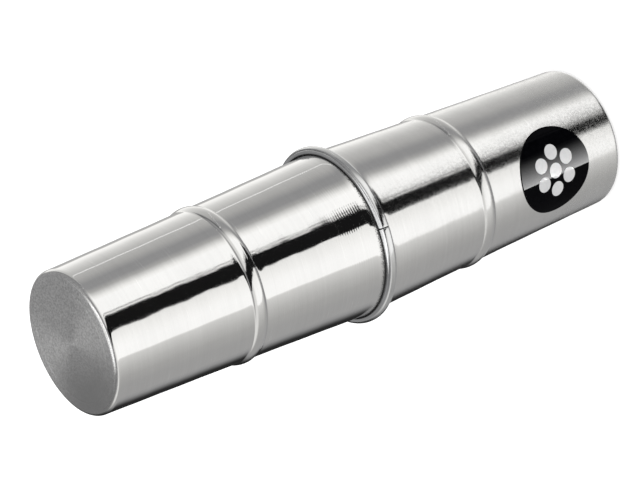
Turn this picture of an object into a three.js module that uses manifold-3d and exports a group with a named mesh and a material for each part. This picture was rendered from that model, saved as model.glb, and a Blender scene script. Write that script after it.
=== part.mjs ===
// A metal tube shaker: two deep tapered cups meet mouth to mouth, a split channel ring is
// closed over their flanges, and loose steel shot inside makes the sound.
// Millimetres. +Z runs up the tube's axis, and the origin is the centre of the lower end's
// outer face, on which the shaker stands. The round label faces -Y.

import * as THREE from "three";
import Module from "manifold-3d";
import { mergeVertices } from "three/addons/utils/BufferGeometryUtils.js";

// ---- Driving dimensions -------------------------------------------------------------

const LENGTH = 216.8; // over both closed ends
const END_RADIUS = 25; // of a cup's wall, carried down to its end plane
const WALL = 0.8; // sheet thickness of a cup
const END_ROUND = 1.8; // outer radius of the edge round a closed end
const END_TAPER = 0.0327; // growth of radius per mm, from the closed end to the bead
const MOUTH_TAPER = 0.0402; // growth of radius per mm, from the bead to the mouth

const LOWER_BEAD = 62.2; // bead's crest, from its own cup's closed end
const UPPER_BEAD = 56.3;
const BEAD_HEIGHT = 0.9;
const BEAD_HALF_WIDTH = 2.9;
const BEAD_FILLET = 1;

const SEAM_GAP = 0.3; // between the two flanges
const FLANGE_RADIUS = 30.2;
const MOUTH_BEND = 0.8; // rounding inside the mouth, where the wall turns into the flange

const RING_BORE = 29.25; // radius of the channel ring's open inner side
const RING_RADIUS = 31.6; // of its crest
const RING_HALF_WIDTH = 1.9;
const RING_ROUND = 1.7; // outer rounding of its two shoulders
const RING_SHEET = 0.6;
const BUTT_GAP = 0.3; // where the ring's two ends meet
const BUTT_ANGLE = 11.5; // degrees from -Y towards +X

const LABEL_DIAMETER = 31.4;
const LABEL_HEIGHT = 30.6; // of its centre above the lower end
const LABEL_SHEET = 0.2;
const LABEL_LIFT = 0.12; // clearance over the wall

const SHOT_COUNT = 48;
const SHOT_RADIUS = 2;
const SHOT_LIFT = 0.3; // clearance over the floor of the lower cup
const SHOT_BED_RADIUS = 20.4; // of the outermost shot's centre, from the axis

// ---- Fineness -----------------------------------------------------------------------

const ROUND_SEGMENTS = 48;
const CORNER_STEPS = 4;
const FILLET_STEPS = 2;
const CREST_STEPS = 6;
const LABEL_RINGS = 6;
const LABEL_SEGMENTS = 36;

const SEAM_HEIGHT = LENGTH / 2;
const GOLDEN_ANGLE = Math.PI * (3 - Math.sqrt(5));
const { degToRad } = THREE.MathUtils;

// ---- Materials ----------------------------------------------------------------------

const FINISH = {
  cup: { color: 0xc9cacc, metalness: 1, roughness: 0.2 },
  ring: { color: 0xd2d3d5, metalness: 1, roughness: 0.16 },
  label: { color: 0x0c0c0d, metalness: 0, roughness: 0.22 },
  shot: { color: 0x8b8e92, metalness: 1, roughness: 0.35 },
};

function piece(name, geometry, finish) {
  const mesh = new THREE.Mesh(geometry, new THREE.MeshStandardMaterial(finish));
  mesh.name = name;
  return mesh;
}

// ---- Half sections: points are (radius, distance along the axis) ---------------------

// Points round an arc, from one angle to another, both ends included.
function arc(centreX, centreY, radius, from, to, steps) {
  return Array.from({ length: steps + 1 }, (_, i) => {
    const angle = from + ((to - from) * i) / steps;
    return new THREE.Vector2(
      centreX + radius * Math.cos(angle),
      centreY + radius * Math.sin(angle),
    );
  });
}

// A solid of revolution about +Z, from a closed half section.
function revolved(section) {
  const geometry = new THREE.LatheGeometry(section, ROUND_SEGMENTS);
  return geometry.rotateX(Math.PI / 2);
}

// A cup's outer radius at a distance from its closed end, with the bead left out.
function wallRadius(along, bead) {
  const below = Math.min(along, bead);
  const above = Math.max(along - bead, 0);
  return END_RADIUS + END_TAPER * below + MOUTH_TAPER * above;
}

// The bead as steps along the wall and rises over it: a fillet, a round crest, a fillet.
function beadRises() {
  const lean = 2 * Math.atan(BEAD_HEIGHT / BEAD_HALF_WIDTH);
  const crest = BEAD_HALF_WIDTH / Math.sin(lean) - BEAD_FILLET;
  const foot = arc(
    -BEAD_HALF_WIDTH,
    BEAD_FILLET,
    BEAD_FILLET,
    -Math.PI / 2,
    lean - Math.PI / 2,
    FILLET_STEPS,
  );
  const top = arc(
    0,
    BEAD_HEIGHT - crest,
    crest,
    Math.PI / 2 + lean,
    Math.PI / 2 - lean,
    CREST_STEPS,
  );
  const farFoot = foot.map((p) => new THREE.Vector2(-p.x, p.y)).reverse();
  return [...foot, ...top.slice(1), ...farFoot.slice(1)];
}

// A cup's outer side, from the edge of its flat end to just under its flange.
function outerSide(bead) {
  const slope = Math.atan(END_TAPER);
  const edgeX = wallRadius(END_ROUND, bead) - END_ROUND / Math.cos(slope);
  const corner = arc(edgeX, END_ROUND, END_ROUND, -Math.PI / 2, -slope, CORNER_STEPS);
  const ridge = beadRises().map(
    (p) => new THREE.Vector2(wallRadius(bead + p.x, bead) + p.y, bead + p.x),
  );
  const top = SEAM_HEIGHT - SEAM_GAP / 2 - WALL;
  return [...corner, ...ridge, new THREE.Vector2(wallRadius(top, bead), top)];
}

// The same side, moved square to itself by the sheet's thickness into the cup.
function innerSide(outer) {
  return outer.map((point, i) => {
    const before = outer[Math.max(i - 1, 0)];
    const after = outer[Math.min(i + 1, outer.length - 1)];
    const along = i === 0 ? new THREE.Vector2(1, 0) : after.clone().sub(before).normalize();
    return new THREE.Vector2(point.x - along.y * WALL, point.y + along.x * WALL);
  });
}

function cup(name, bead) {
  const outer = outerSide(bead);
  const inner = innerSide(outer);
  const under = outer.at(-1);
  const rim = SEAM_HEIGHT - SEAM_GAP / 2;
  const mouth = under.x - WALL + MOUTH_BEND;
  const bend = arc(mouth, rim - MOUTH_BEND, MOUTH_BEND, Math.PI / 2, Math.PI, CORNER_STEPS);
  const section = [
    new THREE.Vector2(0, 0),
    ...outer,
    new THREE.Vector2(FLANGE_RADIUS, under.y),
    new THREE.Vector2(FLANGE_RADIUS, rim),
    ...bend,
    ...inner.slice(0, -1).reverse(),
    new THREE.Vector2(0, WALL),
  ];
  return piece(name, revolved(section), FINISH.cup);
}

// ---- The ring -----------------------------------------------------------------------

// One side of the channel: its bore edge, shoulder and crest, for a given sheet offset.
function channelSide(inset) {
  const round = RING_ROUND - inset;
  const centreX = RING_RADIUS - RING_ROUND;
  const centreY = RING_HALF_WIDTH - RING_ROUND;
  return [
    new THREE.Vector2(RING_BORE, -centreY - round),
    ...arc(centreX, -centreY, round, -Math.PI / 2, 0, CORNER_STEPS),
    ...arc(centreX, centreY, round, 0, Math.PI / 2, CORNER_STEPS),
    new THREE.Vector2(RING_BORE, centreY + round),
  ];
}

const wasm = await Module();
wasm.setup();

function toSolid(geometry) {
  const bare = geometry.clone();
  bare.deleteAttribute("normal");
  bare.deleteAttribute("uv");
  const merged = mergeVertices(bare);
  const mesh = new wasm.Mesh({
    numProp: 3,
    vertProperties: merged.attributes.position.array,
    triVerts: new Uint32Array(merged.index.array),
  });
  return new wasm.Manifold(mesh);
}

function toGeometry(solid) {
  const mesh = solid.getMesh();
  const geometry = new THREE.BufferGeometry();
  geometry.setAttribute("position", new THREE.BufferAttribute(mesh.vertProperties, 3));
  geometry.setIndex(new THREE.BufferAttribute(mesh.triVerts, 1));
  geometry.computeVertexNormals();
  return geometry;
}

// A channel section bent round the two flanges, with its ends butted at BUTT_ANGLE.
function jointRing() {
  const section = [...channelSide(0), ...channelSide(RING_SHEET).reverse()];
  section.push(section[0].clone());
  const cutter = new THREE.BoxGeometry(BUTT_GAP, RING_RADIUS, 3 * RING_HALF_WIDTH);
  cutter.translate(0, -RING_RADIUS, 0);
  cutter.rotateZ(degToRad(BUTT_ANGLE));
  const split = toSolid(revolved(section)).subtract(toSolid(cutter));
  const ring = piece("joint_ring", toGeometry(split), FINISH.ring);
  ring.position.z = SEAM_HEIGHT;
  return ring;
}

// ---- The label ----------------------------------------------------------------------

// Wraps a flat disc that lies in X and Y, with its thickness along Z, round the lower cup.
function wrapRoundCup(geometry) {
  const position = geometry.attributes.position;
  for (let i = 0; i < position.count; i++) {
    const height = LABEL_HEIGHT + position.getY(i);
    const wall = wallRadius(height, LOWER_BEAD);
    const radius = wall + LABEL_LIFT + position.getZ(i);
    const angle = position.getX(i) / wall;
    position.setXYZ(i, radius * Math.sin(angle), -radius * Math.cos(angle), height);
  }
  return geometry;
}

function roundLabel() {
  const radii = Array.from(
    { length: LABEL_RINGS + 1 },
    (_, i) => (LABEL_DIAMETER / 2) * (i / LABEL_RINGS),
  );
  const section = [
    ...radii.map((r) => new THREE.Vector2(r, 0)),
    ...radii.map((r) => new THREE.Vector2(r, LABEL_SHEET)).reverse(),
  ];
  const disc = new THREE.LatheGeometry(section, LABEL_SEGMENTS).rotateX(Math.PI / 2);
  return piece("round_label", wrapRoundCup(disc), FINISH.label);
}

// ---- The shot -----------------------------------------------------------------------

// One layer on the lower cup's floor, spread evenly on a spiral of golden-angle turns.
function shot(index) {
  const share = Math.sqrt((index + 0.5) / (SHOT_COUNT - 0.5));
  const reach = SHOT_BED_RADIUS * share;
  const angle = index * GOLDEN_ANGLE;
  const name = "shot_" + String(index + 1).padStart(2, "0");
  const ball = piece(name, new THREE.IcosahedronGeometry(SHOT_RADIUS, 1), FINISH.shot);
  ball.position.set(
    reach * Math.cos(angle),
    reach * Math.sin(angle),
    WALL + SHOT_LIFT + SHOT_RADIUS,
  );
  return ball;
}

// ---- The assembly -------------------------------------------------------------------

const shaker = new THREE.Group();

const lowerHalf = new THREE.Group();
lowerHalf.add(cup("lower_cup", LOWER_BEAD), roundLabel());

const upperHalf = new THREE.Group();
upperHalf.add(cup("upper_cup", UPPER_BEAD));
upperHalf.rotation.x = Math.PI;
upperHalf.position.z = LENGTH;

const filling = new THREE.Group();
for (let index = 0; index < SHOT_COUNT; index++) {
  filling.add(shot(index));
}

shaker.add(lowerHalf, upperHalf, jointRing(), filling);

export default shaker;
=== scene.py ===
import math

import bmesh
import bpy
import numpy as np
from mathutils import Matrix, Vector, noise


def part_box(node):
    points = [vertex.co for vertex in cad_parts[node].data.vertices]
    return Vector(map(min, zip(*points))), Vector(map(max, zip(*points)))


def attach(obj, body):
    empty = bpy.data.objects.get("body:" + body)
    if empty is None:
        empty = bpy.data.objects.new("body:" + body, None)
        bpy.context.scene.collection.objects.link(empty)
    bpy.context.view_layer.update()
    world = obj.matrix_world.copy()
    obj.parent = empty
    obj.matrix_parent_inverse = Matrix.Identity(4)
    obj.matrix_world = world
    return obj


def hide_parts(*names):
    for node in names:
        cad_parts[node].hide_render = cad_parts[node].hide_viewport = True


# A metal tube shaker, standing on its labelled end on a white floor in a painted studio.
# Metres, in the row frame: +Z runs up the tube and the label faces -Y.

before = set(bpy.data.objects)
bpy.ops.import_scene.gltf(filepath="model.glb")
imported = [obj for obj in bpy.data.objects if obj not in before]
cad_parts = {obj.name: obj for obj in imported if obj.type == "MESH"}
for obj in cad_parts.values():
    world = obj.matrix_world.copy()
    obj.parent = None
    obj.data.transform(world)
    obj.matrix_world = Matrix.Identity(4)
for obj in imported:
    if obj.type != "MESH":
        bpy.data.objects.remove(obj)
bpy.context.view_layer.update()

# ---- Sizes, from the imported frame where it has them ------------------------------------

MM = 0.001

lower_low, lower_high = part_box("lower_cup")
upper_low, upper_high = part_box("upper_cup")
ring_low, ring_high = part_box("joint_ring")
label_low, label_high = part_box("round_label")

LENGTH = upper_high.z - lower_low.z
SEAM_HEIGHT = (lower_high.z + upper_low.z) / 2
SEAM_GAP = upper_low.z - lower_high.z
FLANGE_RADIUS = lower_high.x
RING_RADIUS = ring_high.x
RING_HALF_WIDTH = (ring_high.z - ring_low.z) / 2
LABEL_HEIGHT = (label_low.z + label_high.z) / 2
LABEL_RADIUS = (label_high.z - label_low.z) / 2

WALL = 0.8 * MM
END_RADIUS = 25 * MM
END_ROUND = 1.8 * MM
END_TAPER = 0.0327
MOUTH_TAPER = 0.0402
LOWER_BEAD = 62.2 * MM
UPPER_BEAD = 56.3 * MM
BEAD_HEIGHT = 0.9 * MM
BEAD_HALF_WIDTH = 2.9 * MM
BEAD_FILLET = 1 * MM
MOUTH_BEND = 0.8 * MM
MOUTH_ZONE = 5 * MM  # the finely divided stretch of wall beside the mouth

RING_BORE = 29.25 * MM
RING_ROUND = 1.7 * MM
RING_SHEET = 0.6 * MM
RING_EASE = 0.14 * MM  # rounding of the ring's two cut ends
BUTT_GAP = 0.3 * MM
BUTT_ANGLE = math.radians(11.5)  # from -Y towards +X

LABEL_SHEET = 0.2 * MM
LABEL_LIFT = 0.12 * MM
INK_SHEET = 0.035 * MM

TOOL_PITCH = 0.93 * MM  # of the tool lines left beside the upper cup's mouth

TURN_SEGMENTS = 256
EDGE_STEPS, FOOT_STEPS, CREST_STEPS = 12, 8, 24
WALL_STEP, MOUTH_STEP = 0.7 * MM, 0.3 * MM

# ---- Half sections: arrays of (radius, distance along the axis) --------------------------


def arc(centre, radius, start, end, steps=EDGE_STEPS):
    """Points round an arc, both ends included."""
    angles = np.linspace(start, end, steps + 1)
    across = centre[0] + radius * np.cos(angles)
    along = centre[1] + radius * np.sin(angles)
    return np.column_stack([across, along])


def wall_radius(along, bead):
    """A cup's outer radius at a distance from its closed end, with the bead left out."""
    below = np.minimum(along, bead)
    above = np.maximum(along - bead, 0)
    return END_RADIUS + END_TAPER * below + MOUTH_TAPER * above


def bead_rises():
    """The bead as (steps along the wall, rises over it): a fillet, a round crest, a fillet."""
    lean = 2 * math.atan(BEAD_HEIGHT / BEAD_HALF_WIDTH)
    crest = BEAD_HALF_WIDTH / math.sin(lean) - BEAD_FILLET
    upright = math.pi / 2
    centre = (-BEAD_HALF_WIDTH, BEAD_FILLET)
    foot = arc(centre, BEAD_FILLET, -upright, lean - upright, FOOT_STEPS)
    top = arc((0, BEAD_HEIGHT - crest), crest, upright + lean, upright - lean, CREST_STEPS)
    far_foot = foot[::-1] * (-1, 1)
    return np.vstack([foot, top[1:-1], far_foot])


def straight(start, end, step):
    """Points on a line, without its ends."""
    start, end = np.array(start), np.array(end)
    count = max(int(np.linalg.norm(end - start) / step), 1)
    shares = np.linspace(0, 1, count + 1)[1:-1, None]
    return start + (end - start) * shares


def outer_side(bead):
    """A cup's outer side, from the edge of its flat end to just under its flange."""
    slope = math.atan(END_TAPER)
    edge = wall_radius(END_ROUND, bead) - END_ROUND / math.cos(slope)
    corner = arc((edge, END_ROUND), END_ROUND, -math.pi / 2, -slope)
    rises = bead_rises()
    along = bead + rises[:, 0]
    ridge = np.column_stack([wall_radius(along, bead) + rises[:, 1], along])
    top = SEAM_HEIGHT - SEAM_GAP / 2 - WALL
    mouth = np.array([[wall_radius(top, bead), top]])
    lower = straight(corner[-1], ridge[0], WALL_STEP)
    bend = np.array([[wall_radius(top - MOUTH_ZONE, bead), top - MOUTH_ZONE]])
    upper = straight(ridge[-1], bend[0], WALL_STEP)
    last = straight(bend[0], mouth[0], MOUTH_STEP)
    return np.vstack([corner, lower, ridge, upper, bend, last, mouth])


def moved_in(outer, sheet):
    """An outer side moved square to itself by the sheet's thickness."""
    tangent = np.gradient(outer, axis=0)
    tangent /= np.linalg.norm(tangent, axis=1)[:, None]
    tangent[0] = (1, 0)
    return outer + sheet * np.column_stack([-tangent[:, 1], tangent[:, 0]])


# ---- Mesh building -----------------------------------------------------------------------


def link(name, mesh, material):
    mesh.materials.append(material)
    piece = bpy.data.objects.new(name, mesh)
    bpy.context.scene.collection.objects.link(piece)
    return piece


def smooth_mesh(name, points, faces):
    mesh = bpy.data.meshes.new(name)
    mesh.from_pydata([tuple(p) for p in points], [], faces)
    mesh.polygons.foreach_set("use_smooth", [True] * len(mesh.polygons))
    mesh.update()
    return mesh


def store(mesh, attribute, values):
    """Keeps one number for each vertex, for the materials to read."""
    layer = mesh.attributes.new(attribute, "FLOAT", "POINT")
    layer.data.foreach_set("value", np.asarray(values, np.float32))


def ring_faces(rows, columns, closed):
    """Quads between rows of points. closed joins the last column to the first."""
    faces = []
    last = columns if closed else columns - 1
    for row in range(rows - 1):
        for column in range(last):
            after = (column + 1) % columns
            a, b = row * columns + column, row * columns + after
            faces.append((a, b, b + columns, a + columns))
    return faces


def turned(name, section, wave):
    """A closed solid turned round +Z from a section that starts and ends on the axis.
    wave gives a small change of radius for radii, heights and angles."""
    inside = section[1:-1]
    angles = np.linspace(0, 2 * math.pi, TURN_SEGMENTS, endpoint=False)
    radius = np.repeat(inside[:, 0:1], TURN_SEGMENTS, axis=1)
    height = np.repeat(inside[:, 1:2], TURN_SEGMENTS, axis=1)
    radius = radius + wave(radius, height, angles[None, :])
    points = np.stack([radius * np.sin(angles), -radius * np.cos(angles), height], axis=-1)
    rows = len(inside)
    faces = ring_faces(rows, TURN_SEGMENTS, closed=True)
    start, end = rows * TURN_SEGMENTS, rows * TURN_SEGMENTS + 1
    last = (rows - 1) * TURN_SEGMENTS
    for column in range(TURN_SEGMENTS):
        after = (column + 1) % TURN_SEGMENTS
        faces.append((start, after, column))
        faces.append((end, last + column, last + after))
    poles = [(0, 0, section[0][1]), (0, 0, section[-1][1])]
    return smooth_mesh(name, [*points.reshape(-1, 3), *poles], faces)


def along_section(section):
    """The distance travelled along a section, for each of its points."""
    steps = np.linalg.norm(np.diff(section, axis=0), axis=1)
    return np.concatenate([[0], np.cumsum(steps)])


def store_turned(mesh, attribute, values):
    """Stores one value for each point of a turned section, all the way round."""
    body = np.repeat(values[1:-1], TURN_SEGMENTS)
    store(mesh, attribute, np.concatenate([body, [values[0], values[-1]]]))


# ---- Node materials ----------------------------------------------------------------------


class Nodes:
    """Adds nodes to a tree in short calls."""

    def __init__(self, tree):
        self.tree = tree

    def add(self, kind, inputs=None, **settings):
        node = self.tree.nodes.new(kind)
        for key, value in settings.items():
            setattr(node, key, value)
        for key, value in (inputs or {}).items():
            self.feed(node.inputs[key], value)
        return node

    def feed(self, socket, value):
        if isinstance(value, bpy.types.NodeSocket):
            self.tree.links.new(value, socket)
        elif isinstance(value, bpy.types.Node):
            self.tree.links.new(value.outputs[0], socket)
        else:
            socket.default_value = value

    def attribute(self, name):
        return self.add("ShaderNodeAttribute", attribute_name=name).outputs["Fac"]

    def place(self):
        return self.add("ShaderNodeTexCoord").outputs["Object"]

    def math(self, operation, *values, clamp=False):
        inputs = dict(enumerate(values))
        return self.add("ShaderNodeMath", inputs, operation=operation, use_clamp=clamp).outputs[0]

    def times(self, a, b, clamp=False):
        return self.math("MULTIPLY", a, b, clamp=clamp)

    def plus(self, a, b, clamp=False):
        return self.math("ADD", a, b, clamp=clamp)

    def minus(self, a, b):
        return self.math("SUBTRACT", a, b)

    def most(self, a, b):
        return self.math("MAXIMUM", a, b)

    def between(self, value, low, high, to_low=0.0, to_high=1.0, smooth=True):
        """Moves a value from the range low to high into the range to_low to to_high."""
        kind = "SMOOTHSTEP" if smooth else "LINEAR"
        ends = {"From Min": low, "From Max": high, "To Min": to_low, "To Max": to_high}
        inputs = {"Value": value, **ends}
        return self.add("ShaderNodeMapRange", inputs, interpolation_type=kind).outputs[0]

    def mix(self, factor, a, b):
        node = self.add("ShaderNodeMix", data_type="RGBA")
        self.feed(node.inputs[0], factor)
        self.feed(node.inputs[6], a)
        self.feed(node.inputs[7], b)
        return node.outputs[2]

    def mix_value(self, factor, a, b):
        node = self.add("ShaderNodeMix", data_type="FLOAT")
        self.feed(node.inputs[0], factor)
        self.feed(node.inputs[2], a)
        self.feed(node.inputs[3], b)
        return node.outputs[0]

    def noise(self, vector, scale, detail=2.0, roughness=0.5):
        inputs = {"Vector": vector, "Scale": scale, "Detail": detail, "Roughness": roughness}
        return self.add("ShaderNodeTexNoise", inputs).outputs[0]

    def ramp(self, value, stops):
        """A grey that follows stops of (place, shade)."""
        node = self.add("ShaderNodeValToRGB", {0: value})
        elements = node.color_ramp.elements
        for index, (place, shade) in enumerate(stops):
            stop = elements[index] if index < 2 else elements.new(place)
            stop.position = place
            stop.color = (shade, shade, shade, 1)
        return node.outputs[0]


def new_material(name, colour, roughness, metallic):
    """A material with one Principled shader, and its node helper."""
    material = bpy.data.materials.new(name)
    material.use_nodes = True
    material.diffuse_color = (*colour, 1)
    nodes = Nodes(material.node_tree)
    shader = material.node_tree.nodes["Principled BSDF"]
    shader.inputs["Base Color"].default_value = (*colour, 1)
    shader.inputs["Roughness"].default_value = roughness
    shader.inputs["Metallic"].default_value = metallic
    return material, nodes, shader


def shaded(colour, factor=1.0):
    """A colour made darker or lighter, with its alpha."""
    return (*[channel * factor for channel in colour], 1)


# The turned metal's settings. Noise scales are in cycles for each metre.
NOISE_CORE = (0.36, 0.64)  # where most of a noise's values lie
NOISE_SPAN = (0.3, 0.7)  # where nearly all of them lie
CLOUD_SHARE = 0.45  # of the clouds in the metal's tone, beside the rings
SPARKLE_MIN = 0.1  # of the bright specks, away from the satin ends
SPARKLE_TONE = 1.2  # these tones are times the metal's own light or dark
MATT_SHARE, MATT_DARK, MATT_LIGHT = 0.75, 0.74, 1.25  # on the satin ends
# Painted shade on one side of the closed ends: its tone and the clouds in it.
CAP_SHADE_TONE, CAP_SHADE_CLOUDS = 0.62, (0.85, 1.0)
SCRATCH_SHARE, SCRATCH_TONE = 0.6, 1.3
SCRATCH_EDGE, SCRATCH_CLOUDS = (0.7, 0.76), (0.42, 0.6)
# Painted shade in the crevice beside the ring and in the ring's crease: its colour, cover,
# raggedness and edge.
CREVICE_SHADE_COLOUR, CREVICE_SHADE_COVER, CREVICE_SHADE_RAGGED = (0.02, 0.02, 0.021), 0.8, 0.35
CREVICE_SHADE_EDGE = (0.3, 0.85)
WORN_DULLNESS = 0.2
GRAIN_DULLNESS = (0.42, 0.95)
SATIN_SPECKS, SATIN_DULLNESS = (0.2, 0.8), (0.85, 1.2)
DULL_RINGS, DULL_CLOUDS, CLOUD_DULLNESS = (0.58, 0.8), (0.35, 0.7), (0.08, 0.32)
FINE_RELIEF, BROAD_RELIEF, SATIN_RELIEF, GRAIN_RELIEF, TOOL_RELIEF = 0.2, 0.45, 0.5, 2.0, 2.2
RELIEF_STRENGTH, RELIEF_DEPTH = 0.22, 0.012 * MM
STRETCH, STRETCH_TURN = 0.75, 0.25  # of highlights: a quarter turn is across the rings


def ring_noise(nodes, along_scale, round_scale, detail, roughness):
    """Noise that is stretched round the tube, so that it runs in fine rings."""
    flat = nodes.add("ShaderNodeSeparateXYZ", {0: nodes.place()})
    x = nodes.times(flat.outputs[0], round_scale)
    y = nodes.times(flat.outputs[1], round_scale)
    z = nodes.times(nodes.attribute("along"), along_scale)
    stretched = nodes.add("ShaderNodeCombineXYZ", {0: x, 1: y, 2: z}).outputs[0]
    return nodes.noise(stretched, 1.0, detail, roughness)


def turned_metal(name, light, dark, polished, dull):
    """Spun and polished sheet metal: fine rings of brighter and duller metal, clouds of
    polish, fine scratches along the rings, satin ends, a grain, tool lines, painted shade on
    one side of the closed ends and beside the ring, and worn crests and rims."""
    material, nodes, shader = new_material(name, light, polished, 1.0)
    satin = nodes.attribute("satin")
    grain = nodes.attribute("grain")

    fine = ring_noise(nodes, along_scale=6500, round_scale=16, detail=3.0, roughness=0.6)
    broad = ring_noise(nodes, along_scale=700, round_scale=10, detail=3.0, roughness=0.55)
    scratch = ring_noise(nodes, along_scale=7000, round_scale=85, detail=1.0, roughness=0.4)
    place = nodes.place()
    cloud = nodes.noise(place, scale=60.0, detail=4.0, roughness=0.6)
    blotch = nodes.noise(place, scale=1200.0, detail=3.0, roughness=0.65)
    grit = nodes.noise(place, scale=1700.0, detail=2.0, roughness=0.7)
    speck = nodes.noise(place, scale=2600.0, detail=3.0, roughness=0.7)

    tone = nodes.mix_value(CLOUD_SHARE, nodes.mix_value(0.5, fine, broad), cloud)
    colour = nodes.mix(nodes.between(tone, *NOISE_CORE), shaded(dark), shaded(light))
    sparkle = nodes.plus(satin, SPARKLE_MIN, clamp=True)
    sparkle = nodes.times(nodes.between(speck, *NOISE_SPAN), sparkle)
    colour = nodes.mix(sparkle, colour, shaded(light, SPARKLE_TONE))
    grit = nodes.between(grit, *NOISE_CORE)
    matt = nodes.mix(grit, shaded(dark, MATT_DARK), shaded(light, MATT_LIGHT))
    colour = nodes.mix(nodes.times(satin, MATT_SHARE), colour, matt)
    # Painted shade: one side of each closed end is darkened, in clouds.
    clouded = nodes.between(cloud, *NOISE_SPAN, *CAP_SHADE_CLOUDS)
    cap_shade = nodes.times(nodes.attribute("cap_shade"), clouded)
    colour = nodes.mix(cap_shade, colour, shaded(dark, CAP_SHADE_TONE))
    marks = nodes.between(scratch, *SCRATCH_EDGE)
    marks = nodes.times(marks, nodes.between(cloud, *SCRATCH_CLOUDS), clamp=True)
    marks = nodes.times(marks, SCRATCH_SHARE)
    colour = nodes.mix(marks, colour, shaded(light, SCRATCH_TONE))
    # Painted shade: the crevice beside the ring and the ring's crease are darkened to near black,
    # and made duller.
    ragged = nodes.between(speck, *NOISE_SPAN, -CREVICE_SHADE_RAGGED, CREVICE_SHADE_RAGGED)
    crevice_shading = nodes.between(nodes.plus(nodes.attribute("crevice_shade"), ragged), *CREVICE_SHADE_EDGE)
    colour = nodes.mix(nodes.times(crevice_shading, CREVICE_SHADE_COVER), colour, shaded(CREVICE_SHADE_COLOUR))
    nodes.feed(shader.inputs["Base Color"], colour)

    clouds = nodes.between(cloud, *DULL_CLOUDS, *CLOUD_DULLNESS)
    share = nodes.times(nodes.between(fine, *DULL_RINGS), clouds)
    share = nodes.plus(share, marks, clamp=True)
    share = nodes.most(share, nodes.times(nodes.attribute("wear"), WORN_DULLNESS))
    grainy = nodes.times(grain, nodes.between(blotch, *NOISE_CORE, *GRAIN_DULLNESS))
    share = nodes.most(share, grainy)
    frosted = nodes.times(satin, nodes.between(speck, *SATIN_SPECKS, *SATIN_DULLNESS))
    share = nodes.most(share, frosted)
    share = nodes.most(share, crevice_shading)
    nodes.feed(shader.inputs["Roughness"], nodes.mix_value(share, polished, dull))

    lines = nodes.math("SINE", nodes.times(nodes.attribute("along"), 2 * math.pi / TOOL_PITCH))
    tooling = nodes.times(nodes.attribute("tooling"), TOOL_RELIEF)
    height = nodes.plus(nodes.times(fine, FINE_RELIEF), nodes.times(broad, BROAD_RELIEF))
    height = nodes.plus(height, nodes.times(speck, nodes.times(satin, SATIN_RELIEF)))
    height = nodes.plus(height, nodes.times(blotch, nodes.times(grain, GRAIN_RELIEF)))
    height = nodes.plus(height, nodes.times(lines, tooling))
    bump = {"Strength": RELIEF_STRENGTH, "Distance": RELIEF_DEPTH, "Height": height}
    nodes.feed(shader.inputs["Normal"], nodes.add("ShaderNodeBump", bump))
    tangent = nodes.add("ShaderNodeTangent", direction_type="RADIAL", axis="Z")
    nodes.feed(shader.inputs["Tangent"], tangent)
    shader.inputs["Anisotropic"].default_value = STRETCH
    shader.inputs["Anisotropic Rotation"].default_value = STRETCH_TURN
    return material


def gloss_film(name, colour, lighter, roughness):
    """A glossy printed film: faint mottling of the ink and a slight orange peel."""
    material, nodes, shader = new_material(name, colour, roughness, 0.0)
    place = nodes.place()
    mottle = nodes.between(nodes.noise(place, scale=900.0, detail=3.0), 0.35, 0.65)
    nodes.feed(shader.inputs["Base Color"], nodes.mix(mottle, shaded(colour), shaded(lighter)))
    worn = nodes.noise(place, scale=260.0, detail=4.0)
    worn = nodes.between(worn, 0.45, 0.75, roughness, roughness * 2.2)
    nodes.feed(shader.inputs["Roughness"], worn)
    peel = nodes.noise(place, scale=1400.0, detail=2.0)
    bump = {"Strength": 0.05, "Distance": 0.02 * MM, "Height": peel}
    nodes.feed(shader.inputs["Normal"], nodes.add("ShaderNodeBump", bump))
    shader.inputs["IOR"].default_value = 1.3
    shader.inputs["Specular IOR Level"].default_value = 0.035
    return material


def shot_metal(name, colour, darker):
    """Tumbled steel shot: small dents, darker spots and uneven polish."""
    material, nodes, shader = new_material(name, colour, 0.35, 1.0)
    place = nodes.place()
    spots = nodes.between(nodes.noise(place, scale=1300.0, detail=4.0), 0.4, 0.65)
    nodes.feed(shader.inputs["Base Color"], nodes.mix(spots, shaded(colour), shaded(darker)))
    nodes.feed(shader.inputs["Roughness"], nodes.between(spots, 0.0, 1.0, 0.28, 0.5))
    dents = nodes.add("ShaderNodeTexVoronoi", {"Vector": place, "Scale": 1500.0})
    bump = {"Strength": 0.3, "Distance": 0.05 * MM, "Height": dents.outputs["Distance"]}
    nodes.feed(shader.inputs["Normal"], nodes.add("ShaderNodeBump", bump))
    return material


def floor_paint(name, colour, lighter, glow):
    """Lit acrylic: matt and faintly cloudy, with a little light of its own."""
    material, nodes, shader = new_material(name, colour, 0.9, 0.0)
    shade = nodes.between(nodes.noise(nodes.place(), scale=3.0, detail=2.0), *NOISE_SPAN)
    nodes.feed(shader.inputs["Base Color"], nodes.mix(shade, shaded(colour), shaded(lighter)))
    shader.inputs["Specular IOR Level"].default_value = 0.0
    shader.inputs["Emission Color"].default_value = (1, 1, 1, 1)
    shader.inputs["Emission Strength"].default_value = glow
    return material


cup_light, cup_dark = (0.63, 0.63, 0.63), (0.595, 0.595, 0.595)
cup_metal = turned_metal("cup_metal", cup_light, cup_dark, polished=0.06, dull=0.34)
ring_light, ring_dark = (0.6, 0.605, 0.61), (0.48, 0.485, 0.49)
ring_metal = turned_metal("ring_metal", ring_light, ring_dark, polished=0.13, dull=0.36)
label_gloss = gloss_film("label_gloss", (0.0008, 0.0008, 0.0012), (0.0015, 0.0015, 0.002), 0.022)
label_ink = gloss_film("label_ink", (0.47, 0.47, 0.47), (0.44, 0.44, 0.445), 0.04)
shot_steel = shot_metal("shot_steel", (0.5, 0.51, 0.52), (0.3, 0.3, 0.31))

# ---- The cups ----------------------------------------------------------------------------

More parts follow.
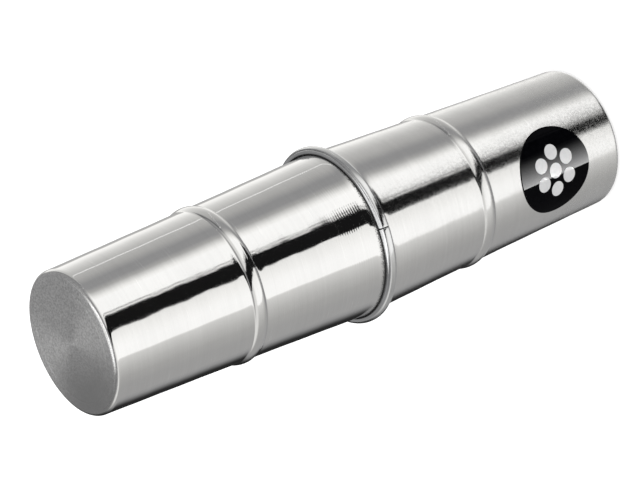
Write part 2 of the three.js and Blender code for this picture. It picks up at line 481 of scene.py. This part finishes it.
WAVE_DEPTH = 0.02 * MM
SLOW_WAVE, QUICK_WAVE, LOBE_TWIST = 2.6 * MM, 0.9 * MM, 18 * MM  # of tube for each radian
LIP_EASE = 0.15 * MM
DISH_DEPTH = 0.12 * MM  # of each closed end's middle
MARK_RADIUS = 20.2 * MM  # a shallow ring pressed into each closed end
MARK_DEPTH = 0.07 * MM
MARK_WIDTH = 0.3 * MM
MARK_NEAR, MARK_WIDE = 0.9 * MM, 1 * MM  # the finely divided stretch on each side of it
SKIRT_HEIGHT = 0.1 * MM  # how far the wall swells beside a bead
SKIRT_REACH = 2.2 * MM
FLARE_HEIGHT = 0.34 * MM  # how far it bends out on its way into the flange
FLARE_FROM, FLARE_TO = 3.8 * MM, 0.9 * MM  # below the flange
TOOLED_FROM_MOUTH, TOOLED_REACH = 11 * MM, 5 * MM
CAP_SHADE_ANGLE = math.radians(250)  # where the painted shade on a closed end is centred, in the cup's own frame, closed end down
CAP_SHADE_REACH = 15 * MM
CREVICE_SHADE_REACH = 1.8 * MM  # how far the painted shade in the crevice beside the ring spreads
CREVICE_SHADE_MIDDLE, CREVICE_SHADE_SWING, CREVICE_SHADE_LEAST = 0.45, 0.55, 0.05 * MM  # of that reach, round the tube
CREST_WEAR, RIM_WEAR = 1.1 * MM, 1.2 * MM  # how far wear spreads from a bead's crest and a rim
EDGE_SATIN, EDGE_FADE = 0.8, 1.6  # of a closed end's rounded edge


def polish_wave(phase):
    """The slight unevenness that spinning and polishing leave in a thin wall."""

    def wave(radius, height, angle):
        slow = np.sin(height / SLOW_WAVE + phase + 1.3 * np.sin(angle + phase))
        quick = np.sin(height / QUICK_WAVE + 2 * phase + 2.3 * np.sin(2 * angle - phase))
        lobes = np.sin(3 * angle + phase)
        lobes = lobes + 0.5 * np.sin(7 * angle - 2 * phase + height / LOBE_TWIST)
        wall = np.clip((radius - END_RADIUS + WALL) / WALL, 0, 1)
        return WAVE_DEPTH * wall * (slow + 0.15 * quick + lobes)

    return wave


def closed_end(edge):
    """The dished end from its centre out to its rounded edge, with the pressed ring."""
    radius = np.concatenate([
        np.linspace(0, MARK_RADIUS - MARK_WIDE, 24),
        np.linspace(MARK_RADIUS - MARK_NEAR, MARK_RADIUS + MARK_NEAR, 17),
        np.linspace(MARK_RADIUS + MARK_WIDE, edge, 8)[:-1],
    ])
    mark = MARK_DEPTH * np.exp(-(((radius - MARK_RADIUS) / MARK_WIDTH) ** 2))
    dish = DISH_DEPTH * (1 - (radius / edge) ** 2) ** 2
    return np.column_stack([radius, mark + dish])


def swollen(outer, bead):
    """The outer side with the wall swelling a little beside its bead, and bent out at its
    mouth on its way into the flange."""
    away = np.maximum(np.abs(outer[:, 1] - bead) - BEAD_HALF_WIDTH, 0)
    skirt = np.exp(-away / SKIRT_REACH) * np.clip(away / SKIRT_REACH, 0, 1)
    under = outer[-1][1] - outer[:, 1]
    flare = np.clip((FLARE_FROM - under) / (FLARE_FROM - FLARE_TO), 0, 1) ** 2
    lift = SKIRT_HEIGHT * skirt + FLARE_HEIGHT * flare
    return outer + np.column_stack([lift, np.zeros(len(outer))])


def cup_section(bead):
    """A cup's closed outline, and how many of its points lie on the flat closed end."""
    outer = swollen(outer_side(bead), bead)
    inner = moved_in(outer, WALL)
    under = outer[-1]
    rim = SEAM_HEIGHT - SEAM_GAP / 2
    mouth = (under[0] - WALL + MOUTH_BEND, rim - MOUTH_BEND)
    lip_radius = FLANGE_RADIUS - LIP_EASE
    lip = np.vstack([
        arc((lip_radius, under[1] + LIP_EASE), LIP_EASE, -math.pi / 2, 0, 4),
        arc((lip_radius, rim - LIP_EASE), LIP_EASE, 0, math.pi / 2, 4),
    ])
    bend = arc(mouth, MOUTH_BEND, math.pi / 2, math.pi, 6)
    end = closed_end(outer[0][0])
    inside = inner[::-1][1::3]  # every third point is enough where nobody looks
    floor = np.array([[0, WALL + DISH_DEPTH]])
    return np.vstack([end, outer, lip, bend, inside, inner[:1], floor]), len(end)


def wear_on(section, bead):
    """Where hands and tables polish and scratch a cup: its end's edge and its bead's crest."""
    along = section[:, 1]
    crest = np.exp(-(((along - bead) / CREST_WEAR) ** 2))
    rim = np.exp(-((along / RIM_WEAR) ** 2)) * (section[:, 0] > END_RADIUS - END_ROUND)
    return np.clip(np.maximum(crest, rim), 0, 1)


def places_round(mesh):
    """Each vertex's radius, angle from -Y towards +X, and height."""
    points = np.empty(len(mesh.vertices) * 3)
    mesh.vertices.foreach_get("co", points)
    x, y, z = points.reshape(-1, 3).T
    return np.hypot(x, y), np.arctan2(x, -y), z


def cap_shaded(mesh):
    """Where a closed end gets painted shade: one side of it, fading to its middle."""
    radius, angle, z = places_round(mesh)
    side = np.clip(np.cos(angle - CAP_SHADE_ANGLE), 0, 1) ** 1.2
    return side * np.clip(radius / CAP_SHADE_REACH, 0, 1) * (z < WALL / 2)


def crevice_shaded(mesh, darkest_side):
    """Painted shade in the crevice beside the ring, darkest on one side of the tube."""
    _, angle, z = places_round(mesh)
    beside_ring = SEAM_HEIGHT - RING_HALF_WIDTH - z
    reach = CREVICE_SHADE_REACH * (CREVICE_SHADE_MIDDLE + CREVICE_SHADE_SWING * np.cos(angle - darkest_side))
    return np.clip(1 - beside_ring / np.maximum(reach, CREVICE_SHADE_LEAST), 0, 1)


def make_cup(node, bead, phase, grain, tooling, darkest_side, upside_down):
    """grain is how grainy the cup is at its closed end and at its mouth, tooling is how deep
    its tool lines are, and phase shifts the waves in its wall."""
    section, end_points = cup_section(bead)
    radius, height = section.T
    on_end = np.arange(len(section)) < end_points
    from_tooled = height - (SEAM_HEIGHT - TOOLED_FROM_MOUTH)
    near_mouth = np.exp(-((from_tooled / TOOLED_REACH) ** 2))
    edge = np.clip(1 - EDGE_FADE * height / END_ROUND, 0, 1) * (radius > END_RADIUS - 2 * END_ROUND)
    mesh = turned(node + "_shell", section, polish_wave(phase))
    store_turned(mesh, "along", along_section(section))
    store_turned(mesh, "wear", wear_on(section, bead))
    store_turned(mesh, "satin", np.where(on_end, 1.0, EDGE_SATIN * edge))
    store_turned(mesh, "grain", grain[0] + (grain[1] - grain[0]) * height / SEAM_HEIGHT)
    store_turned(mesh, "tooling", tooling * near_mouth)
    # Painted shade in the crevice beside the ring.
    store(mesh, "crevice_shade", crevice_shaded(mesh, math.radians(darkest_side)))
    # Painted shade on one side of the closed end.
    store(mesh, "cap_shade", cap_shaded(mesh))
    if upside_down:
        mesh.transform(Matrix.Translation((0, 0, LENGTH)) @ Matrix.Rotation(math.pi, 4, "X"))
    cup = link(node + "_shell", mesh, cup_metal)
    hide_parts(node)
    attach(cup, "tube")


# The last side given to each cup is where the painted shade beside the ring is darkest.
make_cup(
    "lower_cup", LOWER_BEAD, phase=0.4, grain=(0.95, 0.3), tooling=0.15,
    darkest_side=-20, upside_down=False,
)
make_cup(
    "upper_cup", UPPER_BEAD, phase=2.1, grain=(0.04, 0.03), tooling=1.0,
    darkest_side=200, upside_down=True,
)

# ---- The ring over the joint --------------------------------------------------------------

CREASE_DEPTH = 0.33 * MM
CREASE_ANGLE, CREASE_SPREAD = 52, 8  # degrees up from the ring's crest
CREASE_DEEPEST = math.radians(130)  # round the ring, where the crease is deepest
# How dark the painted shade in the ring's crease is, for the crease's depth.
CREASE_SHADE = 1.2
CREST_BAND = 0.4 * MM  # the worn band below the ring's crest
BORE_REACH, BORE_FADE = 0.25 * MM, 0.2 * MM  # of the painted shade beside the ring's bore
LOW_STEPS, HIGH_STEPS = 12, 36  # of its plain shoulder and its creased one


def crease_share(turn):
    """How deep the crease and its painted shade are at a turn round the ring: they fade out on the
    other side.
    """
    facing = 0.5 + 0.5 * math.cos(turn - CREASE_DEEPEST)
    return facing ** 1.3


def channel_side(inset):
    """One side of the channel: its bore edge, shoulder and crest, for a given sheet offset."""
    round_radius = RING_ROUND - inset
    centre_x = RING_RADIUS - RING_ROUND
    centre_y = RING_HALF_WIDTH - RING_ROUND
    half = centre_y + round_radius
    low = arc((centre_x, -centre_y), round_radius, -math.pi / 2, 0, LOW_STEPS)
    high = arc((centre_x, centre_y), round_radius, 0, math.pi / 2, HIGH_STEPS)
    return np.vstack([[(RING_BORE + inset, -half)], low, high, [(RING_BORE + inset, half)]])


def channel(ease=0, crease=1):
    """The channel's closed outline, with both faces moved into the sheet by ease. The outer
    face has a crease rolled into its upper shoulder, at a share of its full depth."""
    outside = channel_side(ease)
    centre = np.array([RING_RADIUS - RING_ROUND, RING_HALF_WIDTH - RING_ROUND])
    spoke = outside - centre
    turn = np.degrees(np.arctan2(spoke[:, 1], spoke[:, 0]))
    depth = crease * CREASE_DEPTH * np.exp(-(((turn - CREASE_ANGLE) / CREASE_SPREAD) ** 2))
    outside = outside - spoke / np.linalg.norm(spoke, axis=1)[:, None] * depth[:, None]
    return np.vstack([outside, channel_side(RING_SHEET - ease)[::-1]])


def ring_stations():
    """Angles round the ring from its butt, each with how far its faces are eased there."""
    half_gap = BUTT_GAP / 2 / RING_RADIUS
    start = []
    for step in (0, 0.25, 0.5, 0.75, 1):
        ease = RING_EASE * (1 - math.cos(math.pi / 2 * (1 - step)))
        start.append((half_gap + RING_EASE / RING_RADIUS * step, ease))
    first = start[-1][0]
    middle = [(angle, 0) for angle in np.linspace(first, 2 * math.pi - first, TURN_SEGMENTS)[1:-1]]
    end = [(2 * math.pi - angle, ease) for angle, ease in reversed(start)]
    return [*start, *middle, *end]


def make_ring():
    stations = ring_stations()
    shares = [crease_share(BUTT_ANGLE + angle) for angle, _ in stations]
    points = []
    for (angle, ease), share in zip(stations, shares):
        turn = BUTT_ANGLE + angle
        for radius, height in channel(ease, share):
            points.append((radius * math.sin(turn), -radius * math.cos(turn), SEAM_HEIGHT + height))
    outline = channel()
    width = len(outline)
    last = (len(stations) - 1) * width
    faces = [face[::-1] for face in ring_faces(len(stations), width, closed=True)]
    faces.append(tuple(range(width)))
    faces.append(tuple(last + i for i in reversed(range(width))))
    mesh = smooth_mesh("joint_ring_band", points, faces)

    store(mesh, "along", np.tile(along_section(outline), len(stations)))
    crest = np.clip((outline[:, 0] - RING_RADIUS) / CREST_BAND + 1, 0, 1)
    store(mesh, "wear", np.tile(crest, len(stations)))
    for attribute, value in {"satin": 0.0, "grain": 0.12, "tooling": 0.0, "cap_shade": 0.0}.items():
        store(mesh, attribute, np.full(len(points), value))
    # Painted shade beside the ring's bore and in its crease.
    bore = np.clip((RING_BORE + BORE_REACH - outline[:, 0]) / BORE_FADE, 0, 1)
    plain = channel_side(0)[:, 0]
    creased = np.zeros(width)
    creased[: len(plain)] = np.clip((plain - outline[: len(plain), 0]) / CREASE_DEPTH, 0, 1)
    crevice_shade = [np.maximum(bore, CREASE_SHADE * share * creased) for share in shares]
    store(mesh, "crevice_shade", np.concatenate(crevice_shade))

    ring = link("joint_ring_band", mesh, ring_metal)
    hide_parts("joint_ring")
    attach(ring, "tube")


make_ring()

# ---- The label ----------------------------------------------------------------------------

LABEL_STEP = 0.8 * MM
EASE_MARGIN = 0.04 * MM  # a narrow row of faces beside the eased edge


def wrap_round_cup(mesh):
    """Wraps flat shapes that lie in X and Y, with their thickness along Z, round the cup."""
    flat = np.empty(len(mesh.vertices) * 3)
    mesh.vertices.foreach_get("co", flat)
    x, y, z = flat.reshape(-1, 3).T
    height = LABEL_HEIGHT + y
    wall = wall_radius(height, LOWER_BEAD)
    radius = wall + LABEL_LIFT + z
    angle = x / wall
    points = np.column_stack([radius * np.sin(angle), -radius * np.cos(angle), height])
    mesh.vertices.foreach_set("co", points.ravel())
    mesh.update()


def disc_section(radius, low, high, ease):
    """A flat disc with its upper edge eased, as (radius, height)."""
    rows = max(int(radius / LABEL_STEP), 2)
    floor = np.column_stack([np.linspace(0, radius, rows + 1), np.full(rows + 1, low)])
    top = arc((radius - ease, high - ease), ease, 0, math.pi / 2, 3)
    inset = (radius - ease - EASE_MARGIN, high)
    roof = straight(inset, (0, high), LABEL_STEP)
    return np.vstack([floor, top, [inset], roof, [(0, high)]])


def flat_disc(bm, section, centre, segments):
    """Adds a turned flat shape to bm. Its section starts and ends on its axis."""
    rows = []
    for radius, height in section:
        if radius == 0:
            rows.append([bm.verts.new((*centre, height))])
            continue
        row = []
        for i in range(segments):
            turn = 2 * math.pi * i / segments
            x = centre[0] + radius * math.sin(turn)
            y = centre[1] - radius * math.cos(turn)
            row.append(bm.verts.new((x, y, height)))
        rows.append(row)
    for low, high in zip(rows, rows[1:]):
        for i in range(segments):
            j = (i + 1) % segments
            a, b = low[i % len(low)], low[j % len(low)]
            c, d = high[j % len(high)], high[i % len(high)]
            bm.faces.new(list(dict.fromkeys([a, b, c, d])))


def wrapped_piece(name, shapes, material):
    """shapes are (section, centre, segments)."""
    bm = bmesh.new()
    for section, centre, segments in shapes:
        flat_disc(bm, section, centre, segments)
    bmesh.ops.recalc_face_normals(bm, faces=bm.faces)
    for face in bm.faces:
        face.smooth = True
    mesh = bpy.data.meshes.new(name)
    bm.to_mesh(mesh)
    bm.free()
    wrap_round_cup(mesh)
    piece = link(name, mesh, material)
    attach(piece, "tube")
    return piece


DOT_RADIUS = 2.7 * MM
DOT_SPACING = 6.7 * MM
FILM_EASE, INK_EASE = 0.09 * MM, 0.015 * MM
INK_SUNK = 0.01 * MM  # how far the ink goes into the film

film = disc_section(LABEL_RADIUS, 0, LABEL_SHEET, FILM_EASE)
label = wrapped_piece("round_label_film", [(film, (0, 0), 128)], label_gloss)
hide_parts("round_label")

dot = disc_section(DOT_RADIUS, LABEL_SHEET - INK_SUNK, LABEL_SHEET + INK_SHEET, INK_EASE)
places = [(0.0, 0.0)]
for turn in range(6):
    angle = math.radians(60 * turn)
    places.append((DOT_SPACING * math.cos(angle), DOT_SPACING * math.sin(angle)))
ink = wrapped_piece("round_label_ink", [(dot, place, 48) for place in places], label_ink)

# ---- The shot -----------------------------------------------------------------------------

BALL_SHARE, LUMP_SHARE = 0.97, 0.02  # of the CAD ball's radius


def make_shot(node, seed):
    """One tumbled ball: not quite round, with small lumps."""
    low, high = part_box(node)
    centre, radius = (low + high) / 2, (high.x - low.x) / 2
    bm = bmesh.new()
    bmesh.ops.create_icosphere(bm, subdivisions=4, radius=1)
    offset = Vector((seed * 3.7, seed * 1.9, seed * 5.3))
    for vertex in bm.verts:
        lumps = noise.noise(vertex.co * 1.1 + offset) + 0.4 * noise.noise(vertex.co * 3.4 + offset)
        vertex.co = centre + vertex.co * radius * (BALL_SHARE + LUMP_SHARE * lumps)
    for face in bm.faces:
        face.smooth = True
    mesh = bpy.data.meshes.new(node + "_ball")
    bm.to_mesh(mesh)
    bm.free()
    ball = link(node + "_ball", mesh, shot_steel)
    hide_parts(node)
    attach(ball, node)


shot_nodes = sorted(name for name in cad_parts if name.startswith("shot_"))
for seed, node in enumerate(shot_nodes):
    make_shot(node, seed + 1)

# ---- The studio ---------------------------------------------------------------------------

FLOOR_SIZE = 60.0
FLOOR_GAP = 0.02 * MM  # below the shaker

half = FLOOR_SIZE / 2
corners = [(-half, -half, 0), (half, -half, 0), (half, half, 0), (-half, half, 0)]
floor_mesh = bpy.data.meshes.new("floor")
floor_mesh.from_pydata(corners, [], [(0, 1, 2, 3)])
white_paint = floor_paint("floor_paint", (0.62, 0.62, 0.62), (0.64, 0.64, 0.64), glow=0.42)
floor = link("floor", floor_mesh, white_paint)
floor.location.z = lower_low.z - FLOOR_GAP
floor.visible_glossy = False

# Only reflections show the studio, and all other light is even. Its azimuths are in degrees
# from -Y towards +X, and its heights are sines of the elevation.

# The soft panels and black cards that stand round the shaker: (azimuth, brightness).
PANELS = [
    (-170, 0.5),
    (-162, 0.03),
    (-130, 0.025),
    (-124, 0.07),
    (-117, 0.22),
    (-109, 0.42),
    (-101, 0.5),
    (-77, 0.52),
    (-61, 0.58),
    (-46, 0.73),
    (-37, 0.86),
    (-28.4, 1.0),
    (-27.4, 1.5),
    (-13, 1.5),
    (-5, 1.46),
    (2, 1.39),
    (12, 1.28),
    (48, 1.5),
    (65, 1.5),
    (70, 1.3),
    (80, 0.6),
    (87, 0.43),
    (98, 0.42),
    (112, 0.62),
    (130, 0.76),
    (146, 1.0),
    (158, 1.28),
    (167, 1.35),
    (171, 0.6),
    (180, 0.5),
]
BRIGHTEST = 1.6
PANEL_MIDDLE, PANEL_SPREAD = 18.9, 0.965  # the panels stand a little further apart low down
SPREAD_HEIGHTS = (-0.62, -0.45)  # between which they move to their own places

# The black card beside the camera, which leans over at the top: the azimuths of its two
# edges at a few heights.
CARD_NEAR = [
    (-1, 22),
    (-0.75, 20),
    (-0.65, 16.2),
    (-0.62, 15),
    (-0.6, 15.2),
    (-0.5, 16.4),
    (-0.47, 16.6),
    (-0.44, 14.8),
    (-0.4, 12.4),
    (-0.2, 10),
    (0.1, 5),
    (0.3, -1),
    (0.45, -9),
    (1, -10),
]
CARD_FAR = [
    (-1, 70),
    (-0.76, 66),
    (-0.68, 38),
    (-0.65, 35.4),
    (-0.59, 35.8),
    (-0.56, 44),
    (-0.5, 46),
    (-0.475, 39),
    (-0.46, 38),
    (-0.41, 37),
    (-0.2, 34),
    (0.1, 27),
    (0.4, 20),
    (1, 16),
]
CARD_RANGE = (-10, 70)  # azimuths, wide enough for both edges
CARD_TOP = (0.5, 0.6)  # heights between which it fades out
CARD_RAGGED, RAGGED_SCALE = 8.0, 30.0  # how far its far edge wanders, in degrees, and how often
CARD_SHADE = 0.012
LEDGE = (2.2, 4.2)  # a thin grey edge beyond the far edge, in degrees
LEDGE_SHADE, LEDGE_COVER = 0.25, 0.75
TABLE_TOP = (-0.614, -0.602)  # heights of the edge of a grey table, which stands on one side
TABLE_SIDE = (-100.0, -106.0)
TABLE_SHADE = 0.45
ROD_AZIMUTH, ROD_HEIGHT = 122.6, -0.43  # one point of a thin bright rod
ROD_HALF_WIDTH, ROD_SOFT = 0.4, 0.3
ROD_LEAN = -80  # degrees of azimuth for each unit of height
ROD_FOOT = (-0.53, -0.51)
ROD_BRIGHTNESS = 1.6
NADIR, NADIR_SHADE = (-0.97, -0.85), 0.4

world = bpy.data.worlds.new("studio")
bpy.context.scene.world = world
world.use_nodes = True
world.cycles.sampling_method = "NONE"
tree = world.node_tree
tree.nodes.clear()
studio = Nodes(tree)

direction = studio.add("ShaderNodeTexCoord").outputs["Generated"]
east, north, height = studio.add("ShaderNodeSeparateXYZ", {0: direction}).outputs
azimuth = studio.math("ARCTAN2", east, studio.times(north, -1.0))
azimuth = studio.times(azimuth, 180 / math.pi)


def by_height(stops, low, high):
    """A value that follows stops placed by height."""
    place = studio.between(height, -1, 1, smooth=False)
    scaled = [((at + 1) / 2, (value - low) / (high - low)) for at, value in stops]
    return studio.between(studio.ramp(place, scaled), 0, 1, low, high, smooth=False)


spread = studio.between(height, *SPREAD_HEIGHTS, PANEL_SPREAD, 1.0)
offset = studio.times(studio.minus(azimuth, PANEL_MIDDLE), spread)
turn = studio.between(studio.plus(offset, PANEL_MIDDLE), -180, 180, smooth=False)
stops = [((angle + 180) / 360, light / BRIGHTEST) for angle, light in PANELS]
panels = studio.times(studio.ramp(turn, stops), BRIGHTEST)

rod_low = ROD_AZIMUTH - (1 + ROD_HEIGHT) * ROD_LEAN
rod_high = ROD_AZIMUTH - ROD_HEIGHT * ROD_LEAN
rod_at = studio.between(height, -1, 0, rod_low, rod_high, smooth=False)
from_rod = studio.math("ABSOLUTE", studio.minus(azimuth, rod_at))
rod = studio.between(from_rod, ROD_HALF_WIDTH, ROD_HALF_WIDTH + ROD_SOFT, 1.0, 0.0)
rod = studio.times(rod, studio.between(height, *ROD_FOOT))
panels = studio.mix_value(rod, panels, ROD_BRIGHTNESS)

past_near = studio.minus(azimuth, by_height(CARD_NEAR, *CARD_RANGE))
wander = studio.noise(studio.add("ShaderNodeCombineXYZ", {2: height}), RAGGED_SCALE)
wander = studio.between(wander, 0, 1, -CARD_RAGGED, CARD_RAGGED, smooth=False)
far_edge = studio.plus(by_height(CARD_FAR, *CARD_RANGE), wander)
past_far = studio.minus(azimuth, far_edge)
card = studio.times(studio.between(past_near, -0.5, 0.5), studio.between(past_far, -0.4, 0.8, 1, 0))
card = studio.times(card, studio.between(height, *CARD_TOP, 1.0, 0.0))
ledge_start = studio.between(past_far, LEDGE[0], LEDGE[0] + 0.4)
ledge = studio.times(ledge_start, studio.between(past_far, LEDGE[1], LEDGE[1] + 0.5, 1, 0))
walls = studio.mix_value(studio.times(ledge, LEDGE_COVER), panels, LEDGE_SHADE)

table = studio.between(height, *TABLE_TOP, 1.0, 0.0)
table = studio.times(table, studio.between(azimuth, *TABLE_SIDE))
walls = studio.mix_value(table, walls, TABLE_SHADE)

# Overhead light by height: a bright lamp round a softer zenith. Below it, the ceiling goes from
# bright to dim towards the camera, and stays a dim grey behind.
OVERHEAD_FRONT = [
    (-1, 1.05),
    (0.4, 1.1),
    (0.52, 0.5),
    (0.6, 0.4),
    (0.84, 0.25),
    (0.89, 2.1),
    (0.95, 2.3),
    (0.975, 1.1),
    (1, 1.0),
]
OVERHEAD_BACK = [
    (-1, 0.42),
    (0, 0.4),
    (0.12, 0.1),
    (0.2, 0.1),
    (0.3, 0.44),
    (0.53, 0.34),
    (0.7, 0.4),
    (0.88, 0.5),
    (0.93, 1.8),
    (0.95, 2.3),
    (0.975, 1.1),
    (1, 1.0),
]
OVERHEAD_RANGE = (0, 3)
OVERHEAD_FROM = (0.03, 0.25)  # heights between which it takes over from the walls
CAMERA_SIDE = 19
BEHIND_EAST, BEHIND_WEST = (45, 70), (-110, -150)  # from the camera's side

turned_by = (CAMERA_SIDE - 180, CAMERA_SIDE + 180, -180, 180)
past_camera = studio.between(azimuth, *turned_by, smooth=False)
behind = studio.between(past_camera, *BEHIND_EAST)
behind = studio.most(behind, studio.between(past_camera, *BEHIND_WEST))
overhead_front = by_height(OVERHEAD_FRONT, *OVERHEAD_RANGE)
overhead_back = by_height(OVERHEAD_BACK, *OVERHEAD_RANGE)
overhead = studio.mix_value(behind, overhead_front, overhead_back)
around = studio.mix_value(studio.between(height, *OVERHEAD_FROM), walls, overhead)
around = studio.mix_value(studio.between(height, *NADIR, 1.0, 0.0), around, NADIR_SHADE)
seen = studio.mix_value(card, around, CARD_SHADE)

# Dim light is neutral, brighter light is a little warm, and the brightest is white.
NEUTRAL, WARM, WHITE = (1.002, 0.998, 1.0, 1), (1.01, 1.0, 0.972, 1), (1.0, 1.0, 1.0, 1)
WARM_FROM, WHITE_FROM = (0.4, 0.6), (1.3, 1.8)
tint = studio.mix(studio.between(seen, *WARM_FROM), NEUTRAL, WARM)
tint = studio.mix(studio.between(seen, *WHITE_FROM), tint, WHITE)

AMBIENT = 1.45  # the even light that falls on everything that isn't polished
BACKDROP = 1.05  # what the camera sees past the floor

paths = studio.add("ShaderNodeLightPath")
glossy = paths.outputs["Is Glossy Ray"]
strength = studio.mix_value(glossy, AMBIENT, seen)
strength = studio.mix_value(paths.outputs["Is Camera Ray"], strength, BACKDROP)
colour = studio.mix(glossy, WHITE, tint)
background = studio.add("ShaderNodeBackground", {"Color": colour, "Strength": strength})
studio.add("ShaderNodeOutputWorld", {"Surface": background})

# ---- The lamp that the glossy label mirrors -------------------------------------------------

LAMP_DISTANCE = 3.0
LAMP_AZIMUTHS = (-29.3, 14.0)  # its bright edge, and where it has faded out
LAMP_HEIGHTS = (-0.74, -0.5)
LAMP_BRIGHTNESS, LAMP_FADE = 215.0, 1.6
LAMP_COLUMNS, LAMP_ROWS = 25, 7


def make_label_lamp(receivers):
    """A curved strip lamp that fades from one edge to the other, and lights only the label."""
    across = np.linspace(0, 1, LAMP_COLUMNS)
    azimuths = np.radians(LAMP_AZIMUTHS[0] + (LAMP_AZIMUTHS[1] - LAMP_AZIMUTHS[0]) * across)
    points = []
    for rise in np.linspace(*LAMP_HEIGHTS, LAMP_ROWS):
        reach = LAMP_DISTANCE * math.sqrt(1 - rise * rise)
        level = LABEL_HEIGHT + LAMP_DISTANCE * rise
        points += [(reach * math.sin(a), -reach * math.cos(a), level) for a in azimuths]
    mesh = smooth_mesh("label_lamp", points, ring_faces(LAMP_ROWS, LAMP_COLUMNS, closed=False))
    store(mesh, "fade", np.tile(1 - across, LAMP_ROWS))
    material = bpy.data.materials.new("label_lamp_glow")
    material.use_nodes = True
    material.node_tree.nodes.clear()
    nodes = Nodes(material.node_tree)
    fade = nodes.math("POWER", nodes.attribute("fade"), LAMP_FADE)
    emission = nodes.add("ShaderNodeEmission", {"Strength": nodes.times(fade, LAMP_BRIGHTNESS)})
    clear = nodes.add("ShaderNodeBsdfTransparent")
    both = nodes.add("ShaderNodeAddShader", {0: emission, 1: clear})
    nodes.add("ShaderNodeOutputMaterial", {0: both})
    lamp = link("label_lamp", mesh, material)
    lamp.visible_camera = False
    lamp.visible_diffuse = False
    lamp.visible_transmission = False
    lamp.visible_shadow = False
    lit = bpy.data.collections.new("label_lamp_receivers")
    for piece in receivers:
        lit.objects.link(piece)
    lamp.light_linking.receiver_collection = lit


make_label_lamp([label, ink])
floor.visible_shadow = False  # the lamp stands below the floor's level

# ---- The camera ---------------------------------------------------------------------------

VIEW_AZIMUTH = math.radians(18.9)
VIEW_ELEVATION = math.radians(32.15)
VIEW_ROLL = math.radians(-112.48)
VIEW_DISTANCE = 1.082
FOCAL_LENGTH, SENSOR_WIDTH = 179.68, 36  # mm
AIM_RIGHT, AIM_UP = -5.0 * MM, -1.61 * MM  # from the tube's middle to the view's centre

back = Vector((
    math.sin(VIEW_AZIMUTH) * math.cos(VIEW_ELEVATION),
    -math.cos(VIEW_AZIMUTH) * math.cos(VIEW_ELEVATION),
    math.sin(VIEW_ELEVATION),
))
level = Vector((math.cos(VIEW_AZIMUTH), math.sin(VIEW_AZIMUTH), 0))
right = Matrix.Rotation(VIEW_ROLL, 3, back) @ level
up = back.cross(right)
place = Vector((0, 0, LENGTH / 2)) + back * VIEW_DISTANCE + right * AIM_RIGHT + up * AIM_UP

camera_data = bpy.data.cameras.new("camera")
camera_data.lens = FOCAL_LENGTH
camera_data.sensor_width = SENSOR_WIDTH
camera = bpy.data.objects.new("camera", camera_data)
bpy.context.scene.collection.objects.link(camera)
turned_axes = Matrix((right, up, back)).transposed().to_4x4()
camera.matrix_world = Matrix.Translation(place) @ turned_axes
bpy.context.scene.camera = camera
bpy.context.scene.view_settings.view_transform = "Standard"
